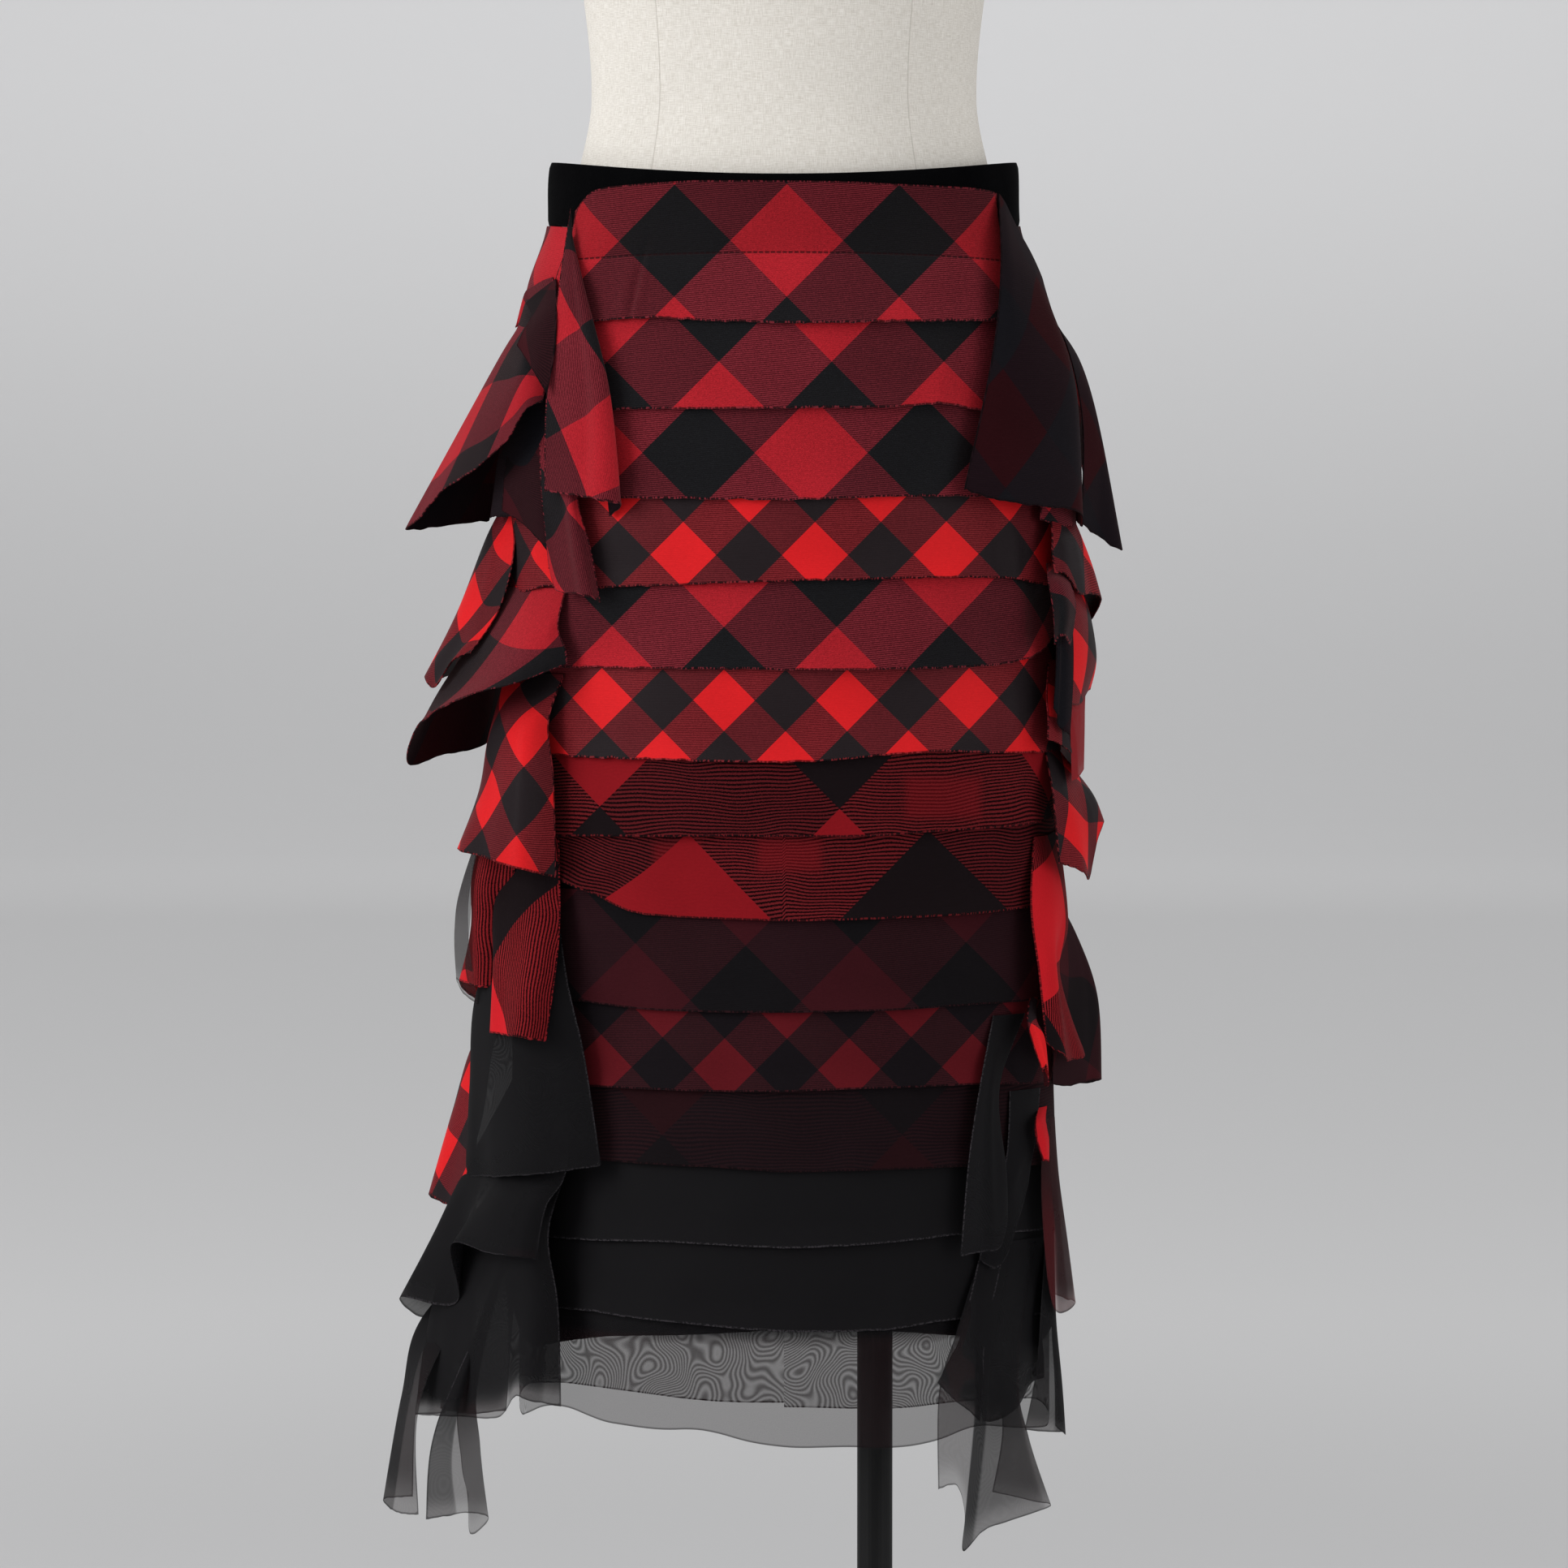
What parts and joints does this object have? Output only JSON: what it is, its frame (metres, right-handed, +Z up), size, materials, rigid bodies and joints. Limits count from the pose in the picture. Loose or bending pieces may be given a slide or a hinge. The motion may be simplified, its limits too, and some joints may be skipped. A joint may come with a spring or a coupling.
{
  "type": "ruffle skirt on a dress form",
  "caption": "Straight midi skirt with a velvet waistband, rows of raw-edged checked and sheer strips and loose side ends, resting on a limbless dress form with a pole stand.",
  "frame": {"origin": "centre of the base plate's underside, on the floor under the form's middle", "axes": "+Z up, -Y towards the front of the skirt, +X to the right as seen from the front"},
  "size_m": [0.4386, 0.35, 1.5033],
  "materials": {
    "velvet": "black velvet, deep matte pile",
    "large_check": "red and black large check twill, bias cut, matte",
    "small_check": "red and black smaller check satin, bias cut, soft sheen",
    "sheer_check": "red and black very large check chiffon with fine stripes, half sheer",
    "veiled_check": "check cloth veiled with black chiffon",
    "black_sheer": "black chiffon, sheer",
    "linen": "cream linen, flecked weave",
    "neck_cap": "pale satin wood",
    "black_steel": "black powder coat, fine texture"
  },
  "bodies": {
    "root": {"form_torso": "linen", "form_neck_cap": "neck_cap", "stand_pole": "black_steel", "stand_base": "black_steel", "waistband": "velvet", "hip_yoke": "large_check", "underskirt": "black_sheer", "front_strip_01": "large_check", "front_strip_02": "large_check", "front_strip_03": "large_check", "front_strip_04": "small_check", "front_strip_05": "large_check", "front_strip_06": "small_check", "front_strip_07": "sheer_check", "front_strip_08": "sheer_check", "front_strip_09": "veiled_check", "front_strip_10": "veiled_check", "front_strip_11": "veiled_check", "front_strip_12": "black_sheer", "front_strip_13": "black_sheer", "back_strip_01": "large_check", "back_strip_02": "large_check", "back_strip_03": "large_check", "back_strip_04": "small_check", "back_strip_05": "large_check", "back_strip_06": "small_check", "back_strip_07": "sheer_check", "back_strip_08": "sheer_check", "back_strip_09": "veiled_check", "back_strip_10": "veiled_check", "back_strip_11": "veiled_check", "back_strip_12": "black_sheer", "back_strip_13": "black_sheer", "left_end_01": "large_check", "left_end_02": "large_check", "left_end_03": "large_check", "left_end_04": "small_check", "left_end_05": "large_check", "left_end_06": "small_check", "left_end_07": "sheer_check", "left_end_08": "sheer_check", "left_end_09": "black_sheer", "left_end_10": "small_check", "left_end_11": "black_sheer", "left_end_12": "black_sheer", "left_end_13": "black_sheer", "right_end_01": "large_check", "right_end_02": "large_check", "right_end_03": "large_check", "right_end_04": "small_check", "right_end_05": "large_check", "right_end_06": "small_check", "right_end_07": "small_check", "right_end_08": "sheer_check", "right_end_09": "veiled_check", "right_end_10": "black_sheer", "right_end_11": "black_sheer", "right_end_12": "veiled_check", "right_end_13": "black_sheer"}
  },
  "joints": []
}
